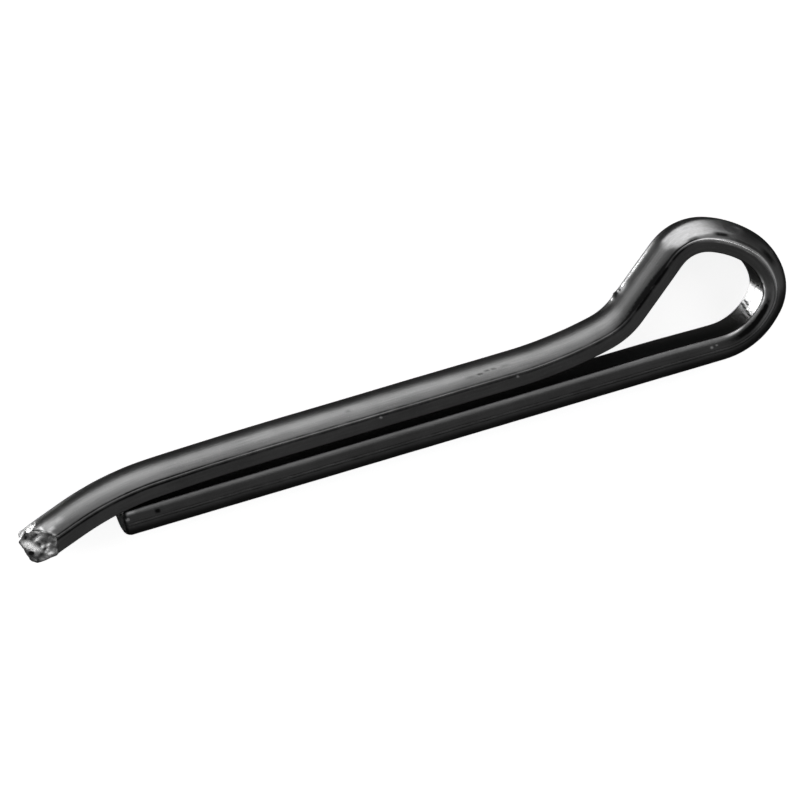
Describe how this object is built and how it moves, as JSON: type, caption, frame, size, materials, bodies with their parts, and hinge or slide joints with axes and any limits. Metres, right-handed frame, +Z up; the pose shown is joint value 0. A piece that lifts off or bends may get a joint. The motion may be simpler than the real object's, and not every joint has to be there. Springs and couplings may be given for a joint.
{
  "type": "cotter pin",
  "caption": "Hammer-lock split cotter pin of half-round steel wire with an offset eye and a long prong bent over the short one's tip; locks a clevis pin or castle nut.",
  "frame": {"origin": "middle of the pin's length and width, on the plane it lies on", "axes": "+X along the prongs towards the eye, +Y across them from the short prong to the long one, +Z up, through the eye"},
  "size_m": [0.0598, 0.0109, 0.0044],
  "materials": {
    "steel_wire": "dark drawn steel under a thin film of oil, lightly scuffed and scored along the wire, with bright bruised metal on the long prong's sheared end"
  },
  "bodies": {
    "root": {"cotter_pin": "steel_wire"}
  },
  "joints": []
}
